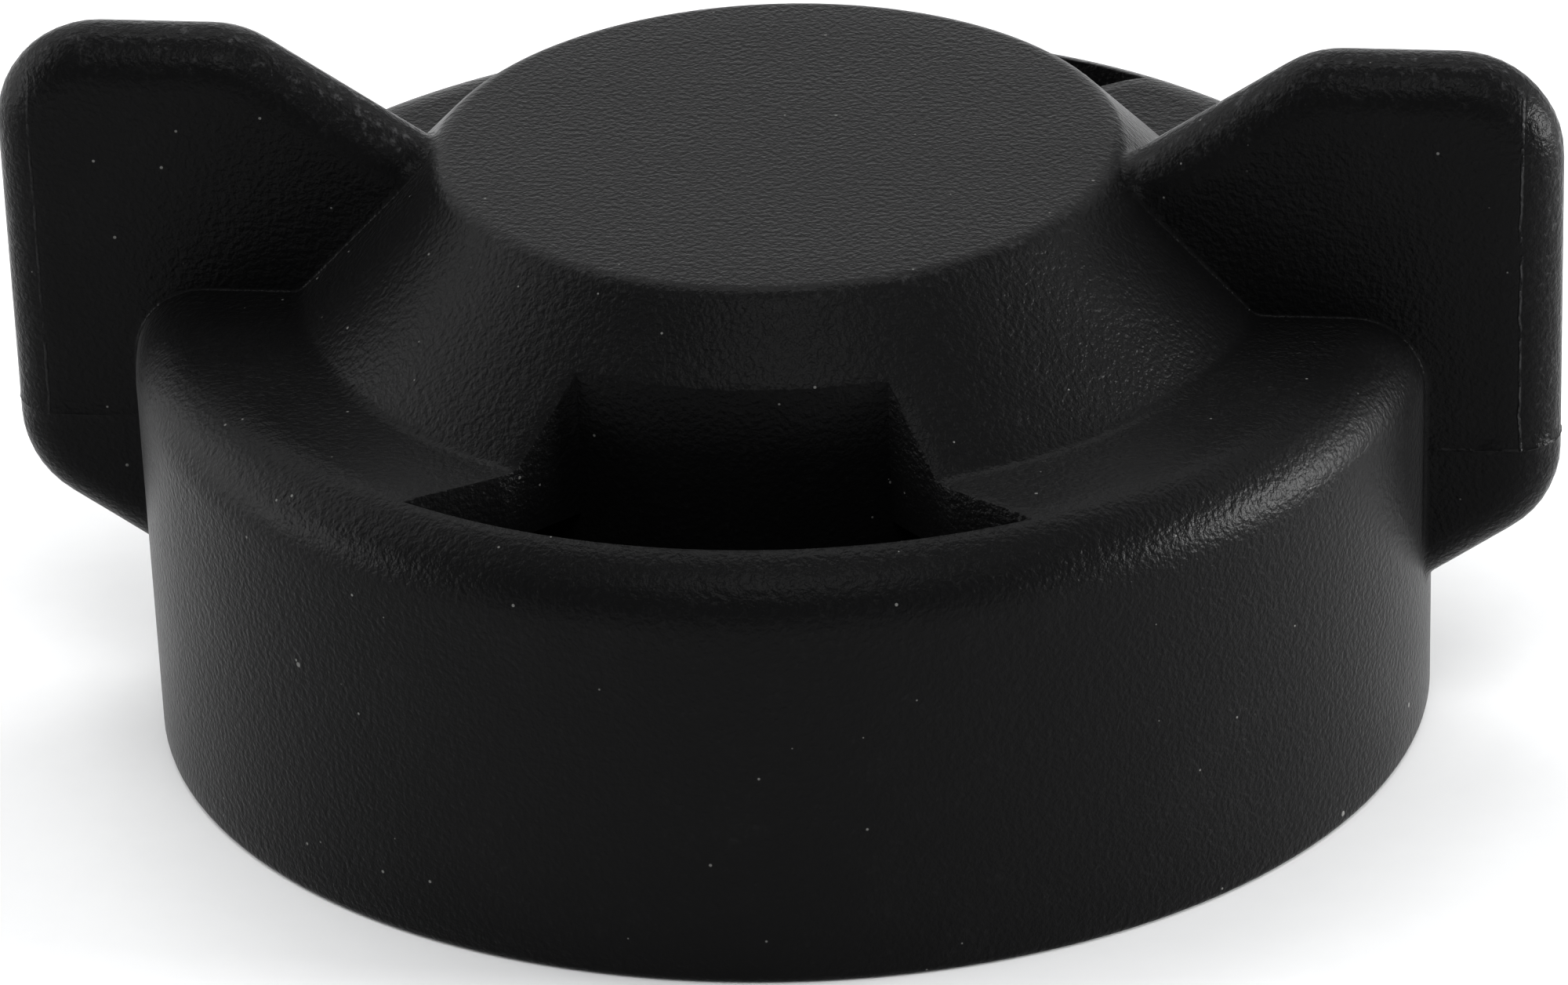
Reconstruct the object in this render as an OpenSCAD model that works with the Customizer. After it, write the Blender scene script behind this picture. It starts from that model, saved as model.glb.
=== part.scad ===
// Winged quarter-turn blanking cap with a snap-in seat gasket, in millimetres.
// The origin is the centre of the skirt's bottom rim. +Z runs up the axis and the wings lie along X.

/* [Skirt] */
// Outer diameter of the skirt at its bottom rim
skirt_foot_d = 31.5; // [31.2:0.1:32.4]
// Outer diameter of the skirt where its rounded shoulder begins
skirt_top_d = 32.0; // [31.8:0.1:33]
// Inner diameter of the skirt
skirt_bore_d = 29.26; // [29:0.02:29.6]
// Height of the floor's top face above the rim
floor_z = 11.2; // [10.8:0.1:12]
// Thickness of the floor
floor_t = 1.8; // [1.4:0.1:2.2]
// Radius of the rounded shoulder
shoulder_r = 1.75; // [1:0.05:2]
// Rounding of the rim's outer edge
rim_edge_r = 0.2; // [0.1:0.05:0.3]
// Chamfer of the rim's inner edge
rim_chamfer = 0.25; // [0.1:0.05:0.35]

/* [Boss] */
// Diameter of the conical boss at the floor
boss_foot_d = 23.8; // [23:0.1:24.4]
// Height of the closed disc's face above the rim
disc_z = 15.0; // [14.8:0.1:15.6]
// Slope of the cone, from the floor
cone_angle = 47; // [43:0.1:48]
// Rounding of the disc's edge
disc_edge_r = 0.7; // [0.3:0.02:0.9]
// Fillet at the foot of the cone
foot_fillet_r = 0.5; // [0.2:0.05:0.8]

/* [Wings] */
// Tip-to-tip span of the two wings
wing_span = 38.7; // [37:0.1:42]
// Thickness of a wing, which has a fully rounded edge
wing_t = 2.45; // [2:0.05:2.6]
// Height of the wings' top edge above the rim
wing_top_z = 17.8; // [17:0.1:19]
// Distance from the axis to a wing's upper inner corner
wing_shoulder_x = 13.2; // [12.5:0.1:14]
// Height of a wing's lower outer corner above the rim
wing_heel_z = 5.95; // [5.5:0.05:7]
// Slope of a wing's upper and lower edges where they meet the cap
wing_slope = 33; // [30:1:36]
// Lean of a wing's outer edge, inwards at the bottom
wing_lean = 0.19; // [0:0.01:0.4]
// Corner radius of a wing's outline
wing_corner_r = 2.6; // [2.5:0.1:3.2]

/* [Windows] */
// Diameter of the windows' inner arc
window_inner_d = 20.2; // [20:0.1:21]
// Half-width of a window at its inner arc
window_inner_w = 3.78; // [3.2:0.01:4]
// Diameter of the circle on which the windows' sides bend outwards, near the foot of the cone
window_bend_d = 24.7; // [24.2:0.1:25.2]
// Half-width of a window at that bend
window_bend_w = 5.4; // [5:0.05:5.8]
// Half-width of a window at the skirt's wall
window_outer_w = 7.54; // [7:0.02:7.8]

/* [Bayonet] */
// Diameter that the two lugs leave free
lug_bore_d = 22.0; // [21.6:0.1:23]
// Height of a lug's underside above the rim
lug_z = 1.2; // [0.8:0.1:1.6]
// Thickness of a lug at its middle
lug_t = 2.8; // [2:0.1:3.2]
// Rise of a lug's top face along the turn, in degrees
lug_ramp = 4; // [2:0.5:5]
// Thickness of the stop wall at a lug's end
stop_t = 1.2; // [0.8:0.1:1.6]

/* [Gasket] */
// Diameter of the socket that holds the gasket
socket_d = 16.0; // [15.6:0.1:16.4]
// Diameter inside the socket's retaining lip
lip_d = 15.1; // [14.8:0.1:15.3]
// Height of the retaining lip
lip_h = 0.9; // [0.7:0.1:1.2]
// Height of the socket's mouth above the rim
mouth_z = 8.0; // [7.6:0.1:8.4]
// Height of the socket's ceiling above the rim
ceiling_z = 12.7; // [12.3:0.1:13]
// Radial running clearance round the gasket
gasket_gap = 0.08; // [0.04:0.01:0.1]
// Diameter of the gasket's bore
gasket_bore_d = 9.6; // [8.6:0.2:10.4]
// Length of the gasket's nose below the socket's mouth
nose_drop = 0.6; // [0.3:0.1:0.9]

/* [Hidden] */
$fn = 96;
cap_colour = [0.045, 0.045, 0.047];
rubber_colour = [0.075, 0.073, 0.07];
wing_fn = 32;
arc_steps = 8;
overshoot = 1;

skirt_foot_r = skirt_foot_d / 2;
skirt_top_r = skirt_top_d / 2;
skirt_bore_r = skirt_bore_d / 2;
skirt_mid_r = (skirt_bore_r + skirt_foot_r) / 2;
floor_under_z = floor_z - floor_t;
boss_foot_r = boss_foot_d / 2;
cone_top_r = boss_foot_r - (disc_z - floor_z) / tan(cone_angle);
wing_tip_x = wing_span / 2;
wing_edge_r = wing_t / 2;
window_inner_r = window_inner_d / 2;
lug_bore_r = lug_bore_d / 2;
socket_r = socket_d / 2;
lip_r = lip_d / 2;

// Points along an arc in the (radius, height) plane
function arc(centre, r, from, to) =
    [for (i = [0 : arc_steps]) centre + r * [cos(from + (to - from) * i / arc_steps),
                                             sin(from + (to - from) * i / arc_steps)]];

// Point on a circle about the axis at a given half-width, on the -Y side
function on_circle(r, half_width) = [half_width, -sqrt(r * r - half_width * half_width)];

// Outer form of the cap, solid: tapered skirt, rounded shoulder, floor, cone and disc
module cap_envelope() {
    cone_tangent = tan(cone_angle / 2);
    foot_centre = [boss_foot_r + foot_fillet_r * cone_tangent, floor_z + foot_fillet_r];
    edge_centre = [cone_top_r - disc_edge_r * cone_tangent, disc_z - disc_edge_r];
    rotate_extrude()
        polygon(concat(
            [[0, 0]],
            arc([skirt_foot_r - rim_edge_r, rim_edge_r], rim_edge_r, -90, 0),
            arc([skirt_top_r - shoulder_r, floor_z - shoulder_r], shoulder_r, 0, 90),
            arc(foot_centre, foot_fillet_r, 270, 270 - cone_angle),
            arc(edge_centre, disc_edge_r, 90 - cone_angle, 90),
            [[0, disc_z]]
        ));
}

// Ring with a round section, standing in the wing's plane: one rounded corner of a wing
module wing_corner(x, z) {
    translate([x, 0, z])
        rotate([90, 0, 0])
            rotate_extrude($fn = wing_fn)
                translate([wing_corner_r - wing_edge_r, 0])
                    circle(r = wing_edge_r, $fn = wing_fn);
}

// One wing along +X, its inner end buried in the boss and the skirt
module wing() {
    r = wing_corner_r;
    heel_x = wing_tip_x - wing_lean;
    root_x = skirt_bore_r - wing_edge_r;
    edge_drop = wing_edge_r / cos(wing_slope);
    upper_root_z = wing_top_z - (wing_shoulder_x - cone_top_r) * tan(wing_slope) - edge_drop;
    lower_root_z = wing_heel_z - (heel_x - root_x) * tan(wing_slope) + edge_drop;
    hull() {
        wing_corner(wing_shoulder_x + r * tan(wing_slope / 2), wing_top_z - r);
        wing_corner(wing_tip_x - r, wing_top_z - r);
        wing_corner(heel_x - r, wing_heel_z + r * tan(45 - wing_slope / 2));
        translate([cone_top_r, 0, upper_root_z])
            sphere(r = wing_edge_r, $fn = wing_fn);
        translate([root_x, 0, lower_root_z])
            sphere(r = wing_edge_r, $fn = wing_fn);
    }
}

// Annular hollow under the floor, round the socket's wall
module cap_hollow() {
    rotate_extrude()
        polygon([
            [0, -overshoot],
            [skirt_bore_r + rim_chamfer + overshoot, -overshoot],
            [skirt_bore_r, rim_chamfer],
            [skirt_bore_r, floor_under_z],
            [window_inner_r, floor_under_z],
            [window_inner_r, mouth_z],
            [0, mouth_z]
        ]);
}

// Socket inside the boss, with the lip that keeps the gasket in
module gasket_socket() {
    lead = lip_h / 2;
    rotate_extrude()
        polygon([
            [0, mouth_z - overshoot],
            [lip_r + lead + overshoot, mouth_z - overshoot],
            [lip_r, mouth_z + lead],
            [lip_r, mouth_z + lip_h],
            [socket_r, mouth_z + lip_h],
            [socket_r, ceiling_z],
            [0, ceiling_z]
        ]);
}

// Plan of a window on the -Y side, from an inner radius out to the skirt's wall
module window_plan(inner_r) {
    inner = on_circle(window_inner_r, window_inner_w);
    bend = on_circle(window_bend_d / 2, window_bend_w);
    outer = on_circle(skirt_bore_r, window_outer_w);
    intersection() {
        difference() {
            circle(r = skirt_bore_r);
            circle(r = inner_r);
        }
        polygon([
            inner, bend, outer, outer + [0, -skirt_bore_r],
            [-outer.x, outer.y - skirt_bore_r], [-outer.x, outer.y], [-bend.x, bend.y], [-inner.x, inner.y]
        ]);
    }
}

// Bayonet lug below the window on the -Y side: its top face rises along the turn, towards +X, to a stop wall
module lug() {
    top_z = lug_z + lug_t;
    difference() {
        translate([0, 0, lug_z])
            linear_extrude(2 * lug_t)
                lug_plan();
        translate([0, 0, top_z])
            rotate([0, -lug_ramp, 0])
                translate([-skirt_bore_r, -2 * skirt_bore_r, 0])
                    cube([2 * skirt_bore_r, 2 * skirt_bore_r, 2 * lug_t]);
    }
    translate([0, 0, lug_z])
        linear_extrude(floor_z - floor_t / 2 - lug_z)
            stop_plan();
}

// Plan of a lug, carried a little into the skirt's wall
module lug_plan() {
    intersection() {
        difference() {
            circle(r = skirt_mid_r);
            circle(r = lug_bore_r);
        }
        polygon([[0, 0], 2 * on_circle(skirt_bore_r, window_outer_w), [0, -2 * skirt_bore_r],
                 2 * on_circle(skirt_bore_r, -window_outer_w)]);
    }
}

// Plan of the stop wall, just past the window's +X side
module stop_plan() {
    edge = on_circle(skirt_bore_r, window_outer_w);
    side_angle = atan2(edge.y, edge.x);
    rotate(side_angle)
        translate([lug_bore_r, 0])
            square([skirt_mid_r - lug_bore_r, stop_t]);
}

// The moulded cap: skirt, floor, boss, wings, windows, bayonet lugs and gasket socket in one piece
module winged_cap() {
    color(cap_colour) {
        difference() {
            union() {
                cap_envelope();
                wing();
                mirror([1, 0, 0])
                    wing();
            }
            cap_hollow();
            gasket_socket();
            for (turn = [0, 180])
                rotate(turn)
                    translate([0, 0, mouth_z])
                        linear_extrude(disc_z)
                            window_plan(window_inner_r);
        }
        for (turn = [0, 180])
            rotate(turn)
                lug();
    }
}

// The rubber seat gasket: a flange behind the socket's lip, and a nose with a sealing bead
module seat_gasket() {
    flange_r = socket_r - gasket_gap;
    nose_r = lip_r - gasket_gap;
    flange_z = mouth_z + lip_h + gasket_gap;
    top_z = ceiling_z - gasket_gap;
    face_z = mouth_z - nose_drop;
    bore_r = gasket_bore_d / 2;
    bead_r = nose_drop / 2;
    bead_at = (nose_r + bore_r) / 2;
    color(rubber_colour)
        rotate_extrude()
            polygon(concat(
                [[bore_r, face_z + bead_r]],
                arc([bead_at, face_z + bead_r], bead_r, 180, 360),
                [
                    [nose_r - bead_r, face_z + bead_r],
                    [nose_r, face_z + 2 * bead_r],
                    [nose_r, flange_z],
                    [flange_r, flange_z],
                    [flange_r, top_z],
                    [bore_r + bead_r, top_z],
                    [bore_r, top_z - bead_r]
                ]
            ));
}

winged_cap();
seat_gasket();
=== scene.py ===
"""Surfaces, finishes and studio for a winged quarter-turn blanking cap and its rubber seat gasket."""

import math

import bmesh
import bpy
import numpy as np
from bpy.props import FloatProperty, FloatVectorProperty, PointerProperty
from mathutils import Matrix, Vector, noise


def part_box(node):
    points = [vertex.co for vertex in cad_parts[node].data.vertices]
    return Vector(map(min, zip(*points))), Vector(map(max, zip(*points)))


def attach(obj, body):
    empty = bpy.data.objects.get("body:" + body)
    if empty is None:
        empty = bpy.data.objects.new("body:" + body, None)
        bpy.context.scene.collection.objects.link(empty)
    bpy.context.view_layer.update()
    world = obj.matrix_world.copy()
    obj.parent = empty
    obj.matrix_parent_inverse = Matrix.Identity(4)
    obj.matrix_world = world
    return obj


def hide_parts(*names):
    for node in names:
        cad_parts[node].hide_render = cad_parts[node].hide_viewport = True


bl_info = {
    "name": "Winged Blanking Cap",
    "version": (1, 0, 0),
    "blender": (4, 5, 0),
    "location": "3D View > Sidebar > Winged Cap",
    "description": "Builds a winged bayonet blanking cap and its seat gasket around their packed frame",
    "category": "Object",
}

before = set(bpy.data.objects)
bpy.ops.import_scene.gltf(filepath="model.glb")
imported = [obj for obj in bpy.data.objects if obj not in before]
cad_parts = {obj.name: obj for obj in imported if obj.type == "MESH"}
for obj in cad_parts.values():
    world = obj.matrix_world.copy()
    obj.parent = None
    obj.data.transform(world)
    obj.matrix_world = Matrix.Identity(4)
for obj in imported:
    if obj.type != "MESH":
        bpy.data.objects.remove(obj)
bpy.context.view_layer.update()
CAP_LOW, CAP_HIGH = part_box("winged_cap")
GASKET_LOW, GASKET_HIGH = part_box("seat_gasket")
MM = 0.001

# Columns round a quarter of the cap: half a wing's root, the plain side, half a window
ROOT_MARGIN = 1
ROOT_FILLET = 5
WING_FACE = 7
WING_EDGE = 7
WING_COLUMNS = ROOT_MARGIN + ROOT_FILLET + WING_FACE + WING_EDGE
SIDE_COLUMNS = 22
WINDOW_COLUMNS = 14
QUARTER = WING_COLUMNS + SIDE_COLUMNS + WINDOW_COLUMNS

# Rows down the outside of the cap, and the same rows round a wing's outline
SLOPE_ROWS = 12
KNEE_ROWS = 5
FILLET_ROWS = 4
FLOOR_ROWS = 12
SHOULDER_ROWS = 10
SKIRT_ROWS = 4
HEEL_ROWS = 7
LOWER_ROWS = 9
PARTING_STEP = 0.045 * MM

# Evening out of the crowded vertices at both ends of a wing's root
RELAX_ROWS = 9
RELAX_ROUNDS = 5
SETTLE_ROUNDS = 12
SHORTEST_FACE = 0.2 * MM


def length(label, what, millimetres):
    """A size property, given in millimetres and kept in metres."""
    return FloatProperty(name=label, description=what, default=millimetres * MM, subtype="DISTANCE",
                         unit="LENGTH", precision=5)


def angle(label, what, degrees):
    """An angle property, given in degrees and kept in radians."""
    return FloatProperty(name=label, description=what, default=math.radians(degrees), subtype="ANGLE",
                         unit="ROTATION")


def colour(label, what, rgb):
    """A colour property without alpha."""
    return FloatVectorProperty(name=label, description=what, default=rgb, size=3, subtype="COLOR",
                               min=0.0, max=1.0)


def share(label, what, default):
    """A property from 0 to 1."""
    return FloatProperty(name=label, description=what, default=default, min=0.0, max=1.0, subtype="FACTOR")


def power(label, watts):
    """A softbox's power."""
    return FloatProperty(name=label, description="Power of this softbox", default=watts, min=0.0,
                         unit="POWER")


class CapSizes(bpy.types.PropertyGroup):
    """Sizes of the moulded cap."""

    foot_radius: length("Skirt foot radius", "Outer radius of the skirt at its rim", 15.75)
    top_radius: FloatProperty(name="Skirt top radius", description="Outer radius at the skirt's shoulder",
                              default=CAP_HIGH.y, subtype="DISTANCE", unit="LENGTH", precision=5)
    bore_radius: length("Skirt bore radius", "Inner radius of the skirt", 14.63)
    floor_height: length("Floor height", "Height of the floor's top face", 11.2)
    floor_thickness: length("Floor thickness", "Thickness of the floor", 1.8)
    shoulder: length("Shoulder", "Radius of the skirt's rounded shoulder", 1.75)
    rim_round: length("Rim rounding", "Rounding of the rim's outer edge", 0.2)
    rim_chamfer: length("Rim chamfer", "Chamfer of the rim's inner edge", 0.25)
    boss_radius: length("Boss radius", "Radius of the conical boss at the floor", 11.9)
    boss_slope: angle("Boss slope", "Slope of the cone from the floor", 47)
    disc_height: length("Disc height", "Height of the closed disc's face", 15.0)
    disc_round: length("Disc rounding", "Rounding of the disc's edge", 0.7)
    foot_fillet: length("Foot fillet", "Fillet at the foot of the cone", 0.5)


class WingSizes(bpy.types.PropertyGroup):
    """Sizes of the finger wings."""

    tip: FloatProperty(name="Wing tip", description="Distance from the axis to a wing's outer edge",
                       default=CAP_HIGH.x, subtype="DISTANCE", unit="LENGTH", precision=5)
    top: FloatProperty(name="Wing top", description="Height of the wings' top edge", default=CAP_HIGH.z,
                       subtype="DISTANCE", unit="LENGTH", precision=5)
    half_thickness: length("Half thickness", "Half a wing's thickness, and the radius of its edge", 1.225)
    shoulder: length("Wing shoulder", "Distance from the axis to a wing's upper inner corner", 13.2)
    heel: length("Wing heel", "Height of a wing's lower outer corner", 5.95)
    slope: angle("Wing slope", "Slope of a wing's upper and lower edges", 33.0)
    lean: length("Wing lean", "How far the outer edge leans inwards at the heel", 0.19)
    corner: length("Wing corner", "Corner radius of a wing's outline", 2.6)
    cone_fillet: length("Cone fillet", "Fillet where a wing meets the cone", 0.08)
    floor_fillet: length("Floor fillet", "Fillet where a wing meets the floor", 0.08)
    skirt_fillet: length("Skirt fillet", "Fillet where a wing meets the skirt and the disc's rim", 0.15)
    parting: length("Parting height", "Height of the mould's parting line across the wings", 7.7)
    flash: length("Flash", "Height of the mould flash that stands on a parting line", 0.05)
    flash_inset: length("Flash inset", "Distance of the upright flash past a wing's flat face", 0.33)


class InsideSizes(bpy.types.PropertyGroup):
    """Sizes of the windows, the bayonet lugs and the gasket's socket."""

    window_radius: length("Window radius", "Radius of the windows' inner arc", 10.1)
    window_width: length("Window width", "Half-width of a window at its inner arc", 3.78)
    bend_radius: length("Bend radius", "Radius at which the windows' sides bend outwards", 12.35)
    bend_width: length("Bend width", "Half-width of a window at that bend", 5.4)
    outer_width: length("Outer width", "Half-width of a window at the skirt's bore", 7.54)
    window_round: length("Window rounding", "Rounding of the windows' upper edges", 0.06)
    lug_radius: length("Lug radius", "Radius that the bayonet lugs leave free", 11.0)
    lug_height: length("Lug height", "Height of the lugs' underside", 1.2)
    lug_thickness: length("Lug thickness", "Thickness of a lug at its middle", 2.8)
    lug_ramp: angle("Lug ramp", "Rise of a lug's top face along the turn", 4.0)
    stop_thickness: length("Stop thickness", "Thickness of the stop wall at a lug's end", 1.2)
    mouth: length("Socket mouth", "Height of the socket's mouth", 8.0)
    ceiling: length("Socket ceiling", "Height of the socket's ceiling", 12.7)
    socket_radius: length("Socket radius", "Radius of the gasket's socket", 8.0)
    lip_radius: length("Lip radius", "Radius inside the socket's retaining lip", 7.55)
    lip_height: length("Lip height", "Height of the retaining lip", 0.9)


class GasketSizes(bpy.types.PropertyGroup):
    """Sizes of the rubber seat gasket."""

    flange_radius: FloatProperty(name="Flange radius", description="Outer radius of the gasket's flange",
                                 default=GASKET_HIGH.x, subtype="DISTANCE", unit="LENGTH", precision=5)
    nose_radius: length("Nose radius", "Outer radius of the gasket's nose", 7.47)
    bore_radius: length("Gasket bore", "Radius of the gasket's bore", 4.8)
    flange_height: length("Flange height", "Height of the flange's underside", 8.98)
    bead: length("Bead", "Height of the sealing bead and its flanks", 0.3)
    edge: length("Gasket edge", "Rounding of the moulded edges", 0.12)


class Finishes(bpy.types.PropertyGroup):
    """Colours and surface scales of the moulded plastic and the rubber."""

    plastic: colour("Plastic", "Colour of the moulded plastic", (0.0032, 0.0032, 0.0033))
    # Also the colour of the painted glints on the grain's high points
    rubbed: colour("Rubbed plastic", "Colour where the grain is rubbed", (0.055, 0.055, 0.056))
    dust: colour("Dust", "Colour of the dust in the grain", (0.22, 0.22, 0.21))
    rubber: colour("Rubber", "Colour of the gasket", (0.024, 0.023, 0.022))
    grain: length("Grain", "Size of the moulded grain", 0.15)
    grain_depth: length("Grain depth", "Depth of the moulded grain", 0.04)
    roughness: share("Roughness", "Roughness of the moulded plastic", 0.33)
    shine: share("Shine", "Strength of the plastic's clear reflection", 0.05)
    sheen: share("Sheen", "Strength of the plastic's soft sheen at a grazing angle", 0.085)
    sheen_spread: share("Sheen spread", "How widely the sheen spreads from the grazing angle", 0.22)


class StudioSettings(bpy.types.PropertyGroup):
    """Floor, lights and camera."""

    front_top: power("Front top softbox", 1.2)
    left_low: power("Left low softbox", 2.4)
    left_high: power("Left high softbox", 0.78)
    left_back_low: power("Left back low softbox", 0.9)
    left_back_mid: power("Left back middle softbox", 0.1)
    left_back_high: power("Left back high softbox", 0.6)
    back_low: power("Back low softbox", 0.26)
    back_top: power("Back top softbox", 0.85)
    right_back_high: power("Right back high softbox", 0.48)
    right_back_low: power("Right back low softbox", 0.4)
    right_high: power("Right high softbox", 0.45)
    right_low: power("Right low softbox", 12.0)
    air: share("Air", "Strength of the even light from all round", 0.34)
    floor: colour("Floor", "Colour of the floor", (0.9, 0.9, 0.9))
    azimuth: angle("Camera azimuth", "Turn of the camera towards +X", 8.018)
    elevation: angle("Camera elevation", "Height of the camera above the horizon", 25.99)
    roll: angle("Camera roll", "Turn of the camera about its view", -2.045)
    yaw: angle("Camera yaw", "Turn of the camera off its aim", 0.019)
    pitch: angle("Camera pitch", "Tilt of the camera off its aim", -0.19663)
    distance: length("Camera distance", "Distance from the camera to its aim", 428.02)
    aim: length("Aim height", "Height of the point the camera is set round", 7.0875)
    lens: FloatProperty(name="Focal length", description="Focal length of the camera in millimetres",
                        default=397.6, min=1.0, unit="CAMERA")


class Section:
    """Points of a section in a half plane, in order, with names for some of them."""

    def __init__(self, x, z, name=None):
        self.points = [(x, z)]
        self.names = {}
        self.mark(name)

    def mark(self, name):
        """Names the last point."""
        if name:
            self.names[name] = len(self.points) - 1

    def line(self, x, z, steps=1, ease=1.0, name=None):
        """A straight stretch. Points crowd at its start for an ease above 1, and at its end below 0."""
        start = self.points[-1]
        for i in range(1, steps + 1):
            t = (i / steps) ** ease if ease > 0 else 1 - (1 - i / steps) ** -ease
            self.points.append((start[0] + (x - start[0]) * t, start[1] + (z - start[1]) * t))
        self.mark(name)

    def arc(self, centre, radius, start, end, steps, name=None):
        """An arc about a centre, from after its start angle to its end angle."""
        for i in range(1, steps + 1):
            turn = start + (end - start) * i / steps
            self.points.append((centre[0] + radius * math.cos(turn), centre[1] + radius * math.sin(turn)))
        self.mark(name)


def wing_ends(cap, wing):
    """Where a wing's upper edge runs into the cone, and where its lower edge runs into the skirt."""
    rise, cone = math.tan(wing.slope), math.tan(cap.boss_slope)
    head_x = (cap.floor_height + cap.boss_radius * cone - wing.top + wing.shoulder * rise) / (rise + cone)
    head = Vector((head_x, wing.top - (wing.shoulder - head_x) * rise))
    skirt_top = cap.floor_height - cap.shoulder
    flare = (cap.top_radius - cap.foot_radius) / skirt_top
    heel_x = wing.tip - wing.lean
    low_x = (cap.foot_radius + flare * (wing.heel - heel_x * rise)) / (1 - flare * rise)
    low = Vector((low_x, wing.heel - (heel_x - low_x) * rise))
    return head, low


def wing_outline(cap, wing, inset):
    """A wing's outline from the cone round to the skirt, moved inwards, with a point for each ring."""
    head, low = wing_ends(cap, wing)
    r = wing.corner - inset
    rise = Vector((math.cos(wing.slope), math.sin(wing.slope)))
    inner = Vector((wing.shoulder + wing.corner * math.tan(wing.slope / 2), wing.top - wing.corner))
    outer = Vector((wing.tip - wing.corner, wing.top - wing.corner))
    lower_rise = math.tan(math.pi / 4 - wing.slope / 2)
    lower = Vector((wing.tip - wing.lean - wing.corner, wing.heel + wing.corner * lower_rise))
    lean = math.atan2(wing.lean, outer.y - lower.y)
    quarter = math.pi / 2
    start = head + inset * Vector((rise.y, -rise.x))
    end = low - inset * Vector((rise.y, -rise.x))
    ridge = inner + r * Vector((-rise.y, rise.x))
    edge_x = outer.x + r * math.cos(lean)
    edge_top = outer.y - r * math.sin(lean)
    foot = lower + r * Vector((math.cos(lean), -math.sin(lean)))

    def edge_at(z):
        return edge_x + (foot.x - edge_x) * (edge_top - z) / (edge_top - foot.y)

    outline = Section(*start)
    outline.line(*ridge, SLOPE_ROWS, 1.5)
    outline.arc(inner, r, quarter + wing.slope, quarter, KNEE_ROWS)
    outline.line(outer.x, outer.y + r, FILLET_ROWS + 1)
    outline.arc(outer, r, quarter, -lean, FLOOR_ROWS - 1)
    above, below = wing.parting + PARTING_STEP, wing.parting - PARTING_STEP
    outline.line(edge_at(above), above, SHOULDER_ROWS + SKIRT_ROWS + 1)
    outline.line(edge_at(wing.parting), wing.parting)
    outline.line(edge_at(below), below)
    outline.line(*foot)
    outline.arc(lower, r, -lean, wing.slope - quarter, HEEL_ROWS)
    outline.line(*end, LOWER_ROWS, -1.5)
    return outline.points


def cap_section(cap, wing, inside):
    """The cap's section, down its outside from the disc's centre and up its inside to the socket."""
    half = cap.boss_slope / 2
    slope = Vector((math.cos(cap.boss_slope), -math.sin(cap.boss_slope)))
    quarter = math.pi / 2
    cone_top = cap.boss_radius - (cap.disc_height - cap.floor_height) / math.tan(cap.boss_slope)
    disc_centre = (cone_top - cap.disc_round * math.tan(half), cap.disc_height - cap.disc_round)
    foot_centre = (cap.boss_radius + cap.foot_fillet * math.tan(half), cap.floor_height + cap.foot_fillet)
    foot_start = Vector((cap.boss_radius, cap.floor_height)) - cap.foot_fillet * math.tan(half) * slope
    shoulder_centre = (cap.top_radius - cap.shoulder, cap.floor_height - cap.shoulder)
    bore_turn = math.acos((cap.bore_radius - shoulder_centre[0]) / cap.shoulder)
    head, low = wing_ends(cap, wing)
    under = cap.floor_height - cap.floor_thickness

    def skirt_at(z):
        return cap.foot_radius + (cap.top_radius - cap.foot_radius) * z / shoulder_centre[1]

    s = Section(0.0, cap.disc_height)
    s.line(disc_centre[0], cap.disc_height, 5)
    s.arc(disc_centre, cap.disc_round, quarter, quarter - cap.boss_slope, 7)
    if head.y < s.points[-1][1]:
        s.line(*head, 3)
    s.mark("head")
    window_z = cap.floor_height + (cap.boss_radius - inside.window_radius) * math.tan(cap.boss_slope)
    s.line(inside.window_radius, window_z, SLOPE_ROWS, 1.5, name="window_in")
    s.line(*foot_start, KNEE_ROWS)
    s.arc(foot_centre, cap.foot_fillet, 3 * quarter - cap.boss_slope, 3 * quarter, FILLET_ROWS)
    s.line(shoulder_centre[0], cap.floor_height, FLOOR_ROWS)
    s.arc(shoulder_centre, cap.shoulder, quarter, bore_turn, 1, name="window_out")
    s.arc(shoulder_centre, cap.shoulder, bore_turn, 0.0, SHOULDER_ROWS)
    s.line(skirt_at(wing.parting + PARTING_STEP), wing.parting + PARTING_STEP, SKIRT_ROWS)
    s.line(skirt_at(wing.parting), wing.parting, name="parting")
    s.line(skirt_at(wing.parting - PARTING_STEP), wing.parting - PARTING_STEP)
    s.line(*low, 1 + HEEL_ROWS + LOWER_ROWS, -1.2, name="low")
    s.line(skirt_at(cap.rim_round), cap.rim_round, 6)
    s.arc((cap.foot_radius - cap.rim_round, cap.rim_round), cap.rim_round, 0.0, -quarter, 4, name="rim")
    s.line(cap.bore_radius + cap.rim_chamfer, 0.0)
    s.line(cap.bore_radius, cap.rim_chamfer)
    s.line(cap.bore_radius, under, 8, name="under_out")
    for r, _ in reversed(s.points[s.names["window_in"]:s.names["window_out"]]):
        s.line(r, under)
    s.mark("under_in")
    socket_section(s, inside)
    return s


def socket_section(s, inside):
    """Carries the section down the socket's wall, round its retaining lip and up to its ceiling."""
    edge = 0.12 * MM
    quarter = math.pi / 2
    lead = inside.lip_height / 2
    s.line(inside.window_radius, inside.mouth + edge, 2)
    s.arc((inside.window_radius - edge, inside.mouth + edge), edge, 0.0, -quarter, 3)
    s.line(inside.lip_radius + lead, inside.mouth, 2)
    s.line(inside.lip_radius, inside.mouth + lead, 3)
    s.line(inside.lip_radius, inside.mouth + inside.lip_height, 2)
    s.line(inside.socket_radius, inside.mouth + inside.lip_height)
    s.line(inside.socket_radius, inside.ceiling, 5)
    s.line(0.0, inside.ceiling, 4)


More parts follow.
